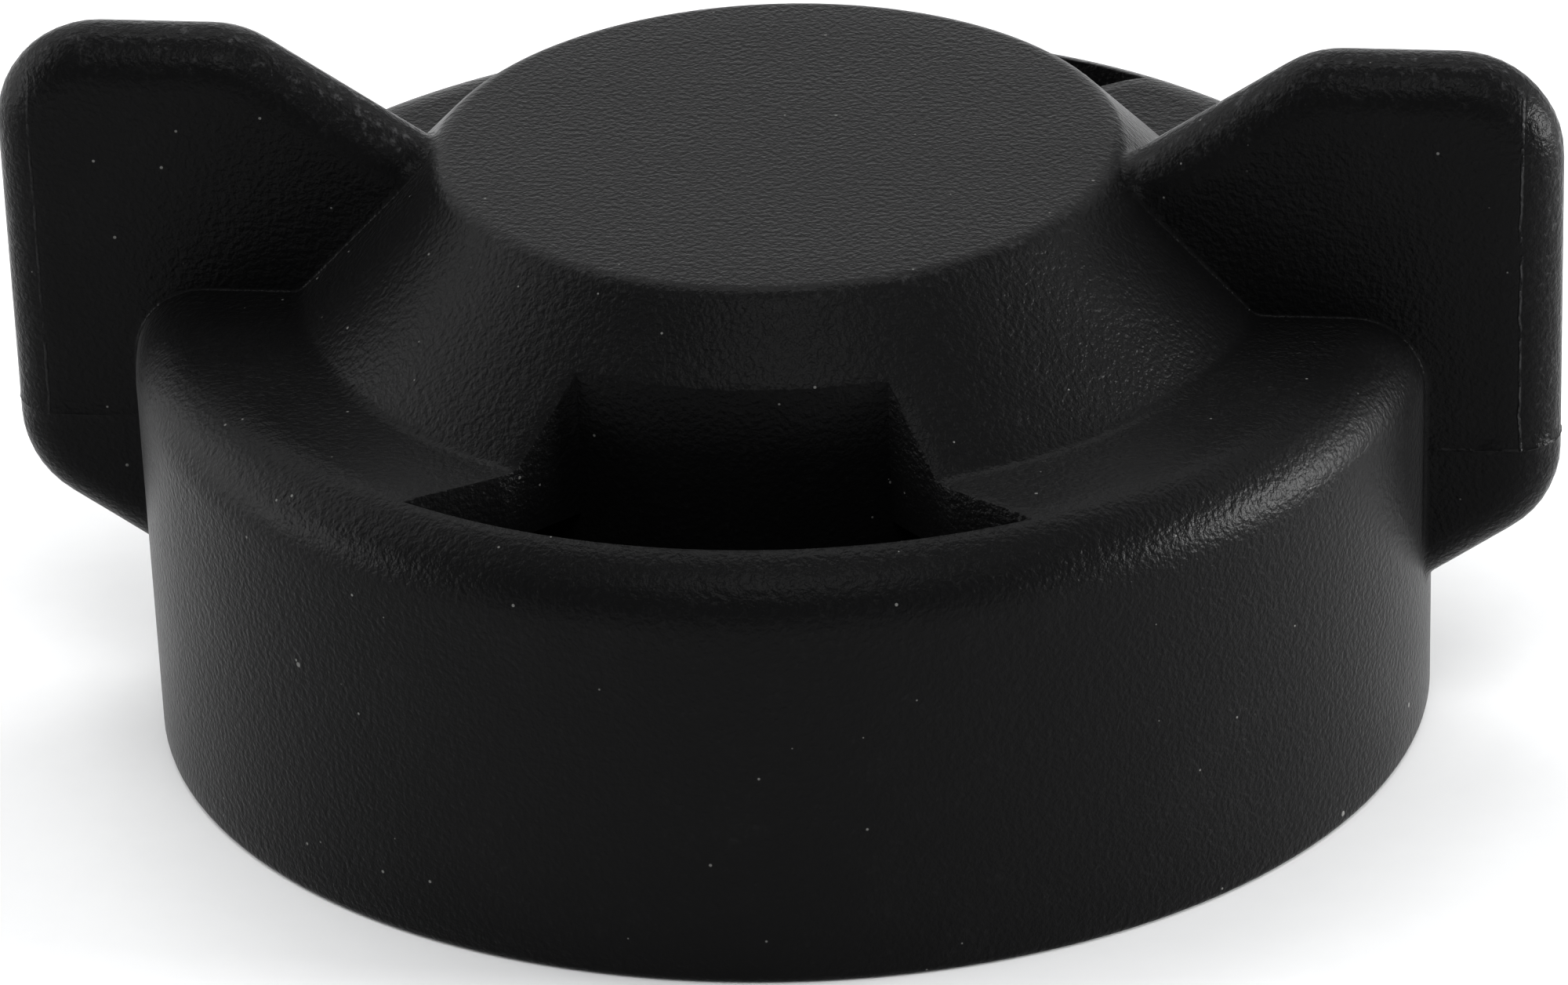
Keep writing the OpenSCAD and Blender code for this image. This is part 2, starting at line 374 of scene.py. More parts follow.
def window_turn(radius, cap, inside):
    """Half the angle that a window spans at a radius. Its sides are straight lines that bend once."""
    corners = [
        on_circle(inside.window_radius, inside.window_width),
        on_circle(inside.bend_radius, inside.bend_width),
        on_circle(cap.bore_radius, inside.outer_width),
    ]
    radius = min(max(radius, inside.window_radius), cap.bore_radius)
    start, end = corners[:2] if radius < inside.bend_radius else corners[1:]
    along = end - start
    half_b = start.dot(along)
    root = math.sqrt(half_b ** 2 - along.length_squared * (start.length_squared - radius ** 2))
    point = start + along * (root - half_b) / along.length_squared
    return math.atan2(point.x, point.y)


def on_circle(radius, half_width):
    """The point of a circle at a half-width from the Y axis."""
    return Vector((half_width, math.sqrt(radius ** 2 - half_width ** 2)))


def column_turn(column, radius, reach, window_half):
    """Polar angle of a column at a radius. Columns follow the wings' roots and the windows' sides."""
    quadrant, step = divmod(column, QUARTER)
    if quadrant % 2:
        step = QUARTER - step
    stops = (0, WING_COLUMNS, WING_COLUMNS + SIDE_COLUMNS, QUARTER)
    turns = (0.0, math.asin(reach / radius), math.pi / 2 - window_half, math.pi / 2)
    turn = float(np.interp(step, stops, turns))
    return (quadrant + 1) * math.pi / 2 - turn if quadrant % 2 else quadrant * math.pi / 2 + turn


def polyline_distance(points, line):
    """Signed distance of points to an open line of points: positive on its left as it runs."""
    start, end = line[:-1], line[1:]
    along = end - start
    reach = points[:, None] - start[None]
    t = np.clip((reach * along).sum(2) / (along ** 2).sum(1), 0, 1)
    gap = reach - t[..., None] * along[None]
    distance = np.hypot(gap[..., 0], gap[..., 1])
    side = (along[:, 0] * reach[..., 1] - along[:, 1] * reach[..., 0]) / np.hypot(along[:, 0], along[:, 1])
    # Two stretches tie at their corner, and the one that faces the point gives the true side
    nearest = (distance - 1e-5 * np.abs(side)).argmin(1)
    row = np.arange(len(points))
    return np.where(side[row, nearest] >= 0, 1.0, -1.0) * distance[row, nearest]


def fillet_at(height, cap, wing):
    """Fillet between a wing and the cap at a height."""
    floor, disc = cap.floor_height, cap.disc_height
    stops = (floor - 1.9 * MM, floor - 0.3 * MM, floor + 0.6 * MM, floor + 1.8 * MM, disc - 0.9 * MM,
             disc - 0.2 * MM)
    sizes = (wing.skirt_fillet, wing.floor_fillet, wing.floor_fillet, wing.cone_fillet, wing.cone_fillet,
             wing.skirt_fillet)
    return np.interp(height, stops, sizes)


def blended_distance(points, body_line, wing_core, wing_reach, edge, fillet):
    """Signed distance of points to the turned body and its wings, joined by a round fillet."""
    turned = np.stack([np.hypot(points[:, 0], points[:, 1]), points[:, 2]], 1)
    body = polyline_distance(turned, body_line)
    flat = np.stack([np.abs(points[:, 0]), points[:, 2]], 1)
    beyond = np.maximum(polyline_distance(flat, wing_core) - wing_reach, 0)
    wing = np.hypot(beyond, points[:, 1]) - edge
    near = np.hypot(np.maximum(fillet - body, 0), np.maximum(fillet - wing, 0))
    return np.maximum(fillet, np.minimum(body, wing)) - near


def settle(points, distance):
    """Moves points along the gradient of a distance until they lie on its surface."""
    step = 0.002 * MM
    for _ in range(SETTLE_ROUNDS):
        here = distance(points)
        slope = np.stack([(distance(points + step * axis) - distance(points - step * axis)) / (2 * step)
                          for axis in np.eye(3)], 1)
        slope /= np.maximum(np.linalg.norm(slope, axis=1), 0.2)[:, None]
        points = points - here[:, None] * slope
    return points


def root_reach(wing):
    """Half-width of the band of columns that a wing's root takes up."""
    return wing.half_thickness + wing.floor_fillet + 0.3 * MM


class WingShape:
    """Where the vertices of a wing's root patch go."""

    def __init__(self, cap, wing, section):
        self.wing = wing
        self.head = section.names["head"]
        self.low = section.names["low"]
        self.section = section.points
        self.outline = wing_outline(cap, wing, 0.0)
        self.core_edge = wing_outline(cap, wing, wing.half_thickness)
        self.fillets = [float(fillet_at(z, cap, wing)) for _, z in section.points]
        self.reach = root_reach(wing)

    def body_normal(self, ring):
        """Outward normal of the section at a ring."""
        before, after = Vector(self.section[ring - 1]), Vector(self.section[ring + 1])
        along = (after - before).normalized()
        return Vector((-along.y, along.x))

    def body_point(self, ring, y, lift=0.0):
        """A point of the turned body at a ring and a distance y from the wings' plane, lifted off it."""
        r, z = self.section[ring]
        normal = self.body_normal(ring)
        turn = math.asin(y / r)
        r += lift * normal.x
        return Vector((r * math.cos(turn), r * math.sin(turn), z + lift * normal.y))

    def place(self, ring, column):
        """First place of a vertex. Column 0 is the root's border and the last column is the outline."""
        e, f = self.wing.half_thickness, self.fillets[ring]
        row = ring - self.head
        edge, core = Vector(self.outline[row]), Vector(self.core_edge[row])
        root = self.body_point(ring, e, f)
        rise = min(1.0, (edge - Vector(self.section[ring])).length / (e + f))
        rise = rise * rise * (3 - 2 * rise)
        core = edge + (core - edge) * rise
        outward = (edge - core).normalized() if rise > 0 else Vector((0, 0))
        core += outward * max(0.0, SHORTEST_FACE - (core - Vector((root.x, root.z))).dot(outward))
        plain = self.body_point(ring, self.reach * (1 - column / WING_COLUMNS))
        shaped = self.shaped(ring, column, root, edge, core)
        return plain.lerp(shaped, rise)

    def shaped(self, ring, column, root, edge, core):
        """Place of a vertex on a full cross-section: root margin, fillet, flat face, round edge."""
        e, f = self.wing.half_thickness, self.fillets[ring]
        if column <= ROOT_MARGIN:
            return self.body_point(ring, e + f + (self.reach - e - f) * (1 - column / ROOT_MARGIN))
        column -= ROOT_MARGIN
        if column <= ROOT_FILLET:
            turn = math.pi / 2 * column / ROOT_FILLET
            return self.body_point(ring, e + f * (1 - math.sin(turn)), f * (1 - math.cos(turn)))
        column -= ROOT_FILLET
        if column <= WING_FACE:
            spot = Vector((root.x, root.z)).lerp(core, column / WING_FACE)
            return Vector((spot.x, e, spot.y))
        turn = math.pi / 2 * (column - WING_FACE) / WING_EDGE
        spot = core + (edge - core) * math.sin(turn)
        return Vector((spot.x, e * math.cos(turn), spot.y))


def wing_core(cap, wing):
    """Outline of a wing's flat core, inset by its corner radius, closed inside the cap."""
    head, low = wing_ends(cap, wing)
    rise = Vector((math.cos(wing.slope), math.sin(wing.slope)))
    across = Vector((rise.y, -rise.x))
    buried = 3 * MM
    lower_rise = math.tan(math.pi / 4 - wing.slope / 2)
    top = wing.top - wing.corner
    corners = [
        low - wing.corner * across - buried * rise,
        Vector((wing.tip - wing.lean - wing.corner, wing.heel + wing.corner * lower_rise)),
        Vector((wing.tip - wing.corner, top)),
        Vector((wing.shoulder + wing.corner * math.tan(wing.slope / 2), top)),
        head + wing.corner * across - buried * rise,
    ]
    return np.array([tuple(c) for c in reversed(corners)])


class Value:
    """A shader value. Arithmetic on it adds Math nodes to its finish."""

    def __init__(self, finish, socket):
        self.finish = finish
        self.socket = socket

    def math(self, operation, *values):
        """A Math node on values, numbers or both."""
        return self.finish.node("ShaderNodeMath", {"operation": operation}, dict(enumerate(values)))

    def __add__(self, other):
        return self.math("ADD", self, other)

    def __sub__(self, other):
        return self.math("SUBTRACT", self, other)

    def __rsub__(self, other):
        return self.math("SUBTRACT", other, self)

    def __mul__(self, other):
        return self.math("MULTIPLY", self, other)

    __radd__ = __add__
    __rmul__ = __mul__

    def size(self):
        """The value without its sign."""
        return self.math("ABSOLUTE", self)

    def above(self, low, high):
        """0 up to low, 1 from high, and a smooth step between them."""
        return self.finish.node("ShaderNodeMapRange", {"interpolation_type": "SMOOTHSTEP"},
                                {"Value": self, "From Min": low, "From Max": high})


class Finish:
    """A material whose nodes are written as expressions."""

    def __init__(self, name):
        self.material = bpy.data.materials.new(name)
        self.material.use_nodes = True
        self.tree = self.material.node_tree
        self.tree.nodes.clear()
        self.coords = self.node("ShaderNodeTexCoord", output="Object")

    def node(self, kind, settings=None, inputs=None, output=0):
        """Adds a node with its settings and its sockets' values or links, and returns one output."""
        node = self.tree.nodes.new(kind)
        for name, value in (settings or {}).items():
            setattr(node, name, value)
        for name, value in (inputs or {}).items():
            socket = node.inputs[name] if isinstance(name, int) else find_socket(node.inputs, name)
            if isinstance(value, Value):
                self.tree.links.new(value.socket, socket)
            else:
                socket.default_value = value
        outputs = node.outputs
        return Value(self, outputs[output] if isinstance(output, int) else find_socket(outputs, output))

    def axis(self, name):
        """One of the object's own coordinates."""
        return self.node("ShaderNodeSeparateXYZ", {}, {"Vector": self.coords}, name)

    def noise(self, size, detail=2.0, roughness=0.5):
        """Noise with features of a size in metres."""
        inputs = {"Vector": self.coords, "Scale": 1 / size, "Detail": detail, "Roughness": roughness}
        return self.node("ShaderNodeTexNoise", {}, inputs, "Fac")

    def specks(self, spacing, radius, kept):
        """Small round specks, one in some of the cells of a random pattern."""
        inputs = {"Vector": self.coords, "Scale": 1 / spacing}
        cell = self.node("ShaderNodeTexVoronoi", {"feature": "F1"}, inputs, "Distance")
        pick = self.node("ShaderNodeSeparateColor", {}, {"Color": self.output_of(cell, "Color")}, "Red")
        size = pick.above(1 - kept, 1.0) * (radius / spacing)
        return (size - cell).above(0.0, 0.3 * radius / spacing)

    def output_of(self, value, name):
        """Another output of the node that a value comes from."""
        return Value(self, find_socket(value.socket.node.outputs, name))

    def mix(self, factor, first, second):
        """A mix of two colours."""
        return self.node("ShaderNodeMix", {"data_type": "RGBA"},
                         {"Factor_Float": factor, "A_Color": first, "B_Color": second}, "Result_Color")

    def bump(self, height, distance, normal=None, strength=1.0):
        """A normal bent by a height from 0 to 1 that stands for a distance."""
        inputs = {"Height": height, "Distance": distance, "Strength": strength}
        if normal:
            inputs["Normal"] = normal
        return self.node("ShaderNodeBump", {}, inputs, "Normal")

    def shade(self, **sockets):
        """Ends the finish in a Principled shader, whose sockets are named with underscores."""
        inputs = {name.replace("_", " "): value for name, value in sockets.items()}
        shader = self.node("ShaderNodeBsdfPrincipled", {}, inputs)
        self.node_end(shader)
        return self.material

    def node_end(self, shader):
        """Adds the output node, which has no outputs of its own."""
        end = self.tree.nodes.new("ShaderNodeOutputMaterial")
        self.tree.links.new(shader.socket, end.inputs["Surface"])


def find_socket(sockets, name):
    """The live socket with a name or identifier."""
    return next(s for s in sockets if s.enabled and name in (s.identifier, s.name))


def rgba(rgb):
    """A colour property as a socket's value."""
    return (*rgb, 1.0)


def parting_ridge(f, wing):
    """Height from 0 to 1 of the ragged flash that runs down each wing's face beside its outer edge."""
    x = f.axis("X")
    z = f.axis("Z")
    wander = (f.noise(0.8 * MM, 3.0, 0.6) - 0.5) * (0.16 * MM)
    lean = wing.lean / (wing.top - wing.heel - wing.corner)
    line_x = (z - wing.top) * lean + (wing.tip - wing.half_thickness + wing.flash_inset)
    ridge = 1 - (x.size() - line_x + wander).size().above(0.012 * MM, 0.05 * MM)
    span = z.above(wing.parting - 0.1 * MM, wing.parting + 0.1 * MM)
    span = span * (1 - z.above(wing.top - 1.5 * MM, wing.top - 0.7 * MM))
    side = x.above(-1 * MM, 1 * MM) * 0.6 + 0.4
    return ridge * span * side * f.noise(0.5 * MM, 3.0, 0.7).above(0.3, 0.6)


def plastic_finish(finishes, wing):
    """Black moulded plastic with a fine spark-eroded grain, painted glints on the grain's high points,
    rubbed edges and a little dust.
    """
    f = Finish("cap_plastic")
    grain = f.noise(finishes.grain, 2.5, 0.55)
    patches = f.noise(2.6 * MM, 3.0, 0.6)
    waves = f.noise(5.0 * MM, 1.0, 0.4)
    rub = f.node("ShaderNodeAttribute", {"attribute_name": "rub"}, {}, "Fac")
    rubbed = rub * f.noise(0.3 * MM, 3.0, 0.7).above(0.48, 0.72)
    ridge = parting_ridge(f, wing)
    dust = f.specks(0.42 * MM, 0.05 * MM, 0.2) + f.specks(1.3 * MM, 0.09 * MM, 0.3)
    # Paler colour: painted glints on the grain's high points, with paler random patches, rubbed edges and
    # flash
    light = grain.above(0.5, 0.8) * 0.12 + patches.above(0.45, 0.7) * 0.05 + rubbed * 0.42 + ridge * 0.5
    base = f.mix(light.above(0.0, 1.0), rgba(finishes.plastic), rgba(finishes.rubbed))
    base = f.mix((dust * 0.5).above(0.0, 1.0), base, rgba(finishes.dust))
    rough = patches * 0.1 + grain * 0.08 + (finishes.roughness - 0.09) - rubbed * 0.1
    normal = f.bump(grain, finishes.grain_depth)
    normal = f.bump(waves, 0.02 * MM, normal)
    normal = f.bump(ridge, wing.flash, normal)
    return f.shade(Base_Color=base, Roughness=rough, Normal=normal, Specular_IOR_Level=finishes.shine,
                   Sheen_Weight=finishes.sheen, Sheen_Roughness=finishes.sheen_spread)


def rubber_finish(finishes):
    """Black moulded rubber, matte, with a fine bloom."""
    f = Finish("gasket_rubber")
    bloom = f.noise(1.8 * MM, 3.0, 0.6)
    fine = f.noise(0.09 * MM, 2.0, 0.5)
    dust = f.specks(0.5 * MM, 0.05 * MM, 0.25)
    base = f.mix(bloom.above(0.4, 0.8) * 0.3, rgba(finishes.rubber), rgba(finishes.rubbed))
    base = f.mix(dust * 0.4, base, rgba(finishes.dust))
    normal = f.bump(fine, 0.004 * MM)
    return f.shade(Base_Color=base, Roughness=0.68 + bloom * 0.12, Normal=normal, Specular_IOR_Level=0.35)


def floor_finish(studio):
    """Plain pale paper for the floor."""
    f = Finish("floor_paper")
    fleck = f.noise(1.2 * MM, 2.0, 0.5)
    shadow = rgba([0.97 * c for c in studio.floor])
    return f.shade(Base_Color=f.mix(fleck, rgba(studio.floor), shadow), Roughness=0.9 + fleck * 0.05)


def turned_mesh(section, columns):
    """Spins a section about the Z axis into a closed bmesh that keeps each vertex's ring and column."""
    bm = bmesh.new()
    rings = bm.verts.layers.int.new("ring")
    verts = [bm.verts.new((x, 0.0, z)) for x, z in section.points]
    for i, v in enumerate(verts):
        v[rings] = i
    edges = [bm.edges.new(pair) for pair in zip(verts, verts[1:])]
    bmesh.ops.spin(bm, geom=verts + edges, cent=(0, 0, 0), axis=(0, 0, 1), angle=2 * math.pi,
                   steps=columns, use_merge=True)
    numbers = bm.verts.layers.int.new("column")
    for v in bm.verts:
        v[numbers] = round(math.atan2(v.co.y, v.co.x) / (2 * math.pi) * columns) % columns
    poles = [v for v in bm.verts if math.hypot(v.co.x, v.co.y) < 0.001 * MM]
    bmesh.ops.remove_doubles(bm, verts=poles, dist=0.001 * MM)
    bmesh.ops.recalc_face_normals(bm, faces=bm.faces)
    return bm


def finished_object(bm, name, sharp_degrees):
    """Makes an object of a bmesh, smooth but for edges sharper than an angle."""
    mesh = bpy.data.meshes.new(name)
    bm.to_mesh(mesh)
    bm.free()
    mesh.shade_smooth()
    mesh.set_sharp_from_angle(angle=math.radians(sharp_degrees))
    piece = bpy.data.objects.new(name, mesh)
    bpy.context.scene.collection.objects.link(piece)
    return piece


def aim_columns(bm, section, cap, wing, inside):
    """Turns each column to follow the wings' roots and the windows' sides, ring by ring."""
    rings, numbers = bm.verts.layers.int["ring"], bm.verts.layers.int["column"]
    head_r = section.points[section.names["head"]][0]
    windows = [window_turn(r, cap, inside) for r, _ in section.points]
    for v in bm.verts:
        r, z = section.points[v[rings]]
        turn = column_turn(v[numbers], max(r, head_r), root_reach(wing), windows[v[rings]])
        v.co = (r * math.cos(turn), r * math.sin(turn), z)


def pull_wings(bm, section, cap, wing):
    """Draws the faces of each wing's root out into the wing, with a fillet all round."""
    rings, numbers = bm.verts.layers.int["ring"], bm.verts.layers.int["column"]
    shape = WingShape(cap, wing, section)
    body_line = np.array(section.points[:section.names["rim"] + 1])
    core = wing_core(cap, wing)
    near = []
    for v in bm.verts:
        offset = (v[numbers] + QUARTER) % (2 * QUARTER) - QUARTER
        if v[rings] > section.names["rim"] or abs(offset) > WING_COLUMNS:
            continue
        near.append(v)
        if shape.head <= v[rings] <= shape.low:
            spot = shape.place(v[rings], WING_COLUMNS - abs(offset))
            v.co = (math.copysign(spot.x, v.co.x), math.copysign(spot.y, v.co.y), spot.z)

    def distance(points):
        return blended_distance(points, body_line, core, wing.corner - wing.half_thickness,
                                wing.half_thickness, fillet_at(points[:, 2], cap, wing))

    lay_on(near, distance)
    crowded = [v for v in near if -3 <= min(v[rings] - shape.head, shape.low - v[rings]) <= RELAX_ROWS]
    for _ in range(RELAX_ROUNDS):
        bmesh.ops.smooth_vert(bm, verts=crowded, factor=0.5, use_axis_x=True, use_axis_y=True,
                              use_axis_z=True)
        lay_on(crowded, distance)


def lay_on(verts, distance):
    """Lays vertices on the surface where a distance is zero."""
    for v, co in zip(verts, settle(np.array([v.co[:] for v in verts]), distance)):
        v.co = co


def cut_windows(bm, section):
    """Opens the two windows through the floor and joins their rims with walls."""
    rings, numbers = bm.verts.layers.int["ring"], bm.verts.layers.int["column"]
    names = section.names
    spans = [(names["window_in"], names["window_out"]), (names["under_out"], names["under_in"])]

    def opens(face, side):
        in_span = any(all(low <= v[rings] <= high for v in face.verts) for low, high in spans)
        return in_span and all(abs(v[numbers] - side) <= WINDOW_COLUMNS for v in face.verts)

    for side in (QUARTER, 3 * QUARTER):
        bmesh.ops.delete(bm, geom=[f for f in bm.faces if opens(f, side)], context="FACES")
        rims = [e for e in bm.edges if e.is_boundary]
        bmesh.ops.bridge_loops(bm, edges=rims)
    bmesh.ops.recalc_face_normals(bm, faces=bm.faces)


def soften_windows(bm, section, inside):
    """Rounds the upper edges of the windows a little."""
    numbers = bm.verts.layers.int["column"]
    floor = section.points[section.names["under_in"]][1]

    def at_window(v):
        offset = min(abs(v[numbers] - QUARTER), abs(v[numbers] - 3 * QUARTER))
        return v.co.z > floor + 1 * MM and offset <= WINDOW_COLUMNS

    edges = [e for e in bm.edges if all(at_window(v) for v in e.verts)
             and e.calc_face_angle(0.0) > math.radians(30)]
    bmesh.ops.bevel(bm, geom=edges, offset=inside.window_round, offset_type="OFFSET", segments=2,
                    profile=0.5, affect="EDGES", material=-1)


def raise_flash(bm, section, wing):
    """Stands thin mould flash on the wings' parting line."""
    rings, numbers = bm.verts.layers.int["ring"], bm.verts.layers.int["column"]
    face_column = WING_COLUMNS - ROOT_MARGIN - ROOT_FILLET
    bm.normal_update()
    lifts = []
    for v in bm.verts:
        offset = abs((v[numbers] + QUARTER) % (2 * QUARTER) - QUARTER)
        if v[rings] == section.names["parting"] and offset <= face_column:
            side = 1.0 if v.co.x > 0 else 0.5
            wander = 0.65 + 0.7 * noise.noise(v.co / (0.7 * MM)) + 0.3 * noise.noise(v.co / (0.2 * MM))
            lifts.append((v, v.normal * wing.flash * side * max(0.0, wander)))
    for v, lift in lifts:
        v.co += lift


def lug_shells(cap, inside):
    """The two bayonet lugs below the windows: their top faces rise along the turn."""
    turn = math.asin(inside.outer_width / cap.bore_radius)
    wall = (cap.bore_radius + cap.foot_radius) / 2
    top = inside.lug_height + inside.lug_thickness
    bm = bmesh.new()
    for start, rise in ((-math.pi / 2, 1), (math.pi / 2, -1)):
        corners = [(inside.lug_radius, inside.lug_height), (wall, inside.lug_height), (wall, top),
                   (inside.lug_radius, top)]
        verts = [bm.verts.new((x, 0.0, z)) for x, z in corners]
        face = bm.faces.new(verts)
        bmesh.ops.rotate(bm, verts=verts, cent=(0, 0, 0), matrix=Matrix.Rotation(start - turn, 3, "Z"))
        known = set(bm.verts) - set(verts)
        bmesh.ops.spin(bm, geom=[face, *face.edges, *verts], cent=(0, 0, 0), axis=(0, 0, 1), angle=2 * turn,
                       steps=24)
        for v in set(bm.verts) - known:
            if v.co.z > top - 0.01 * MM:
                v.co.z += rise * v.co.x * math.tan(inside.lug_ramp)
    bmesh.ops.recalc_face_normals(bm, faces=bm.faces)
    soften(bm, 0.12 * MM)
    return finished_object(bm, "lugs", 35)


def stop_shells(cap, inside):
    """The two stop walls, just past the windows, that end the cap's turn."""
    wall = (cap.bore_radius + cap.foot_radius) / 2
    top = cap.floor_height - cap.floor_thickness / 2
    side = on_circle(cap.bore_radius, inside.outer_width)
    size = Vector((wall - inside.lug_radius, inside.stop_thickness, top - inside.lug_height))
    low = Vector((inside.lug_radius, 0.0, inside.lug_height))
    bm = bmesh.new()
    for half_turn in (0.0, math.pi):
        verts = bmesh.ops.create_cube(bm, size=1.0)["verts"]
        bmesh.ops.scale(bm, vec=size, verts=verts)
        bmesh.ops.translate(bm, vec=low + size / 2, verts=verts)
        spot = Matrix.Rotation(half_turn + math.atan2(-side.y, side.x), 3, "Z")
        bmesh.ops.rotate(bm, verts=verts, cent=(0, 0, 0), matrix=spot)
    bmesh.ops.recalc_face_normals(bm, faces=bm.faces)
    soften(bm, 0.12 * MM)
    return finished_object(bm, "stops", 35)


def soften(bm, size):
    """Rounds a bmesh's sharp edges."""
    edges = [e for e in bm.edges if e.calc_face_angle(0.0) > math.radians(40)]
    bmesh.ops.bevel(bm, geom=edges, offset=size, offset_type="OFFSET", segments=2, profile=0.5,
                    affect="EDGES", material=-1)


def fuse(piece, *adders):
    """Joins other closed pieces into a piece, as one moulding, and removes them."""
    for adder in adders:
        modifier = piece.modifiers.new("fuse", "BOOLEAN")
        modifier.operation = "UNION"
        modifier.solver = "EXACT"
        modifier.object = adder
    graph = bpy.context.evaluated_depsgraph_get()
    joined = bpy.data.meshes.new_from_object(piece.evaluated_get(graph))
    piece.modifiers.clear()
    piece.data = joined
    for adder in adders:
        bpy.data.objects.remove(adder)


def mark_rubbed(piece, cap, wing):
    """Stores how much each vertex is rubbed by handling: the disc's rim, and the wings' edges."""
    count = len(piece.data.vertices)
    points = np.empty(3 * count)
    piece.data.vertices.foreach_get("co", points)
    points = points.reshape(-1, 3)
    flat = np.stack([np.abs(points[:, 0]), points[:, 2]], 1)
    inset = wing.corner - wing.half_thickness
    past = (polyline_distance(flat, wing_core(cap, wing)) - inset) / wing.half_thickness
    head, _ = wing_ends(cap, wing)
    on_wing = (np.abs(points[:, 1]) < wing.half_thickness + 0.1 * MM) & (past > 0) & (past < 1.04)
    on_wing &= flat[:, 0] > head.x
    rim_x = cap.boss_radius - (cap.disc_height - cap.floor_height) / math.tan(cap.boss_slope)
    rim = np.hypot(np.hypot(points[:, 0], points[:, 1]) - rim_x, points[:, 2] - cap.disc_height)
    worn = np.where(on_wing, np.clip(past, 0, 1) ** 2, 0) + np.clip(0.6 - rim / MM, 0, 1)
    layer = piece.data.attributes.new("rub", "FLOAT", "POINT")
    layer.data.foreach_set("value", np.clip(worn, 0, 1))


def build_cap(cap, wing, inside):
    """The moulded cap as one closed piece."""
    section = cap_section(cap, wing, inside)
    bm = turned_mesh(section, 4 * QUARTER)
    aim_columns(bm, section, cap, wing, inside)
    pull_wings(bm, section, cap, wing)
    cut_windows(bm, section)
    soften_windows(bm, section, inside)
    raise_flash(bm, section, wing)
    piece = finished_object(bm, "moulded_cap", 35)
    fuse(piece, lug_shells(cap, inside), stop_shells(cap, inside))
    mark_rubbed(piece, cap, wing)
    return piece


def gasket_section(gasket):
    """The gasket's closed section, from its bore round the nose and the flange."""
    quarter = math.pi / 2
    low, high = GASKET_LOW.z, GASKET_HIGH.z
    e = gasket.edge
    ring_mid = (gasket.bore_radius + gasket.nose_radius) / 2
    face = low + gasket.bead
    s = Section(gasket.bore_radius, face + e)
    s.arc((gasket.bore_radius + e, face + e), e, math.pi, 3 * quarter, 4)
    s.line(ring_mid - gasket.bead, face, 2)
    s.arc((ring_mid, face), gasket.bead, math.pi, 2 * math.pi, 12)
    s.line(gasket.nose_radius - gasket.bead, face, 2)
    s.line(gasket.nose_radius, face + gasket.bead, 3)
    s.line(gasket.nose_radius, gasket.flange_height, 2)
    s.line(gasket.flange_radius - e, gasket.flange_height, 2)
    s.arc((gasket.flange_radius - e, gasket.flange_height + e), e, 3 * quarter, 4 * quarter, 4)
    s.line(gasket.flange_radius, high - e, 5)
    s.arc((gasket.flange_radius - e, high - e), e, 0.0, quarter, 4)
    s.line(gasket.bore_radius + gasket.bead, high, 4)
    s.line(gasket.bore_radius, high - gasket.bead, 3)
    s.line(gasket.bore_radius, face + e, 6)
    return s


class WINGEDCAP_OT_gasket(bpy.types.Operator):
    """Build the rubber seat gasket"""

    bl_idname = "winged_cap.gasket"
    bl_label = "Seat Gasket"

    def execute(self, context):
        section = gasket_section(context.scene.gasket_sizes)
        bm = turned_mesh(section, 160)
        bmesh.ops.remove_doubles(bm, verts=bm.verts, dist=0.001 * MM)
        bmesh.ops.recalc_face_normals(bm, faces=bm.faces)
        gasket = finished_object(bm, "rubber_gasket", 40)
        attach(gasket, "gasket")
        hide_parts("seat_gasket")
        gasket.data.materials.append(rubber_finish(context.scene.finishes))
        return {"FINISHED"}


class WINGEDCAP_OT_cap(bpy.types.Operator):
    """Build the moulded cap with its wings, windows, lugs and socket"""

    bl_idname = "winged_cap.cap"
    bl_label = "Moulded Cap"

    def execute(self, context):
        scene = context.scene
        cap = build_cap(scene.cap_sizes, scene.wing_sizes, scene.inside_sizes)
        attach(cap, "cap")
        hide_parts("winged_cap")
        cap.data.materials.append(plastic_finish(scene.finishes, scene.wing_sizes))
        return {"FINISHED"}


class WINGEDCAP_OT_studio(bpy.types.Operator):
    """Set the floor, the lights and the camera"""

    bl_idname = "winged_cap.studio"
    bl_label = "Studio"

    def execute(self, context):
        studio = context.scene.studio_settings
        add_floor(studio)
        add_air(studio)
        for name, (azimuth, elevation) in SOFTBOXES.items():
            add_softbox(name, azimuth, elevation, getattr(studio, name))
        add_camera(studio)
        context.scene.view_settings.view_transform = "Standard"
        return {"FINISHED"}


def add_floor(studio):
    """A plain pale floor under the cap."""
    bm = bmesh.new()
    bmesh.ops.create_grid(bm, x_segments=1, y_segments=1, size=2.0)
    floor = finished_object(bm, "floor", 30)
    floor.data.materials.append(floor_finish(studio))


def add_air(studio):
    """Dim, even light from all round."""
    world = bpy.data.worlds.new("studio_air")
    world.use_nodes = True
    sky = world.node_tree.nodes["Background"]
    sky.inputs["Color"].default_value = (0.95, 0.97, 1.0, 1.0)
    sky.inputs["Strength"].default_value = studio.air
    bpy.context.scene.world = world


# Softboxes: azimuth and elevation in degrees as seen from the cap
SOFTBOXES = {
    "front_top": (-82, 60),
    "left_low": (188, 2),
    "left_high": (173, 40),
    "left_back_low": (158, 15),
    "left_back_mid": (128, 15),
    "left_back_high": (128, 40),
    "back_low": (98, 15),
    "back_top": (98, 65),
    "right_back_high": (68, 40),
    "right_back_low": (38, 15),
    "right_high": (23, 40),
    "right_low": (8, 2),
}
SOFTBOX_SIZE = 0.3
SOFTBOX_DISTANCE = 0.6


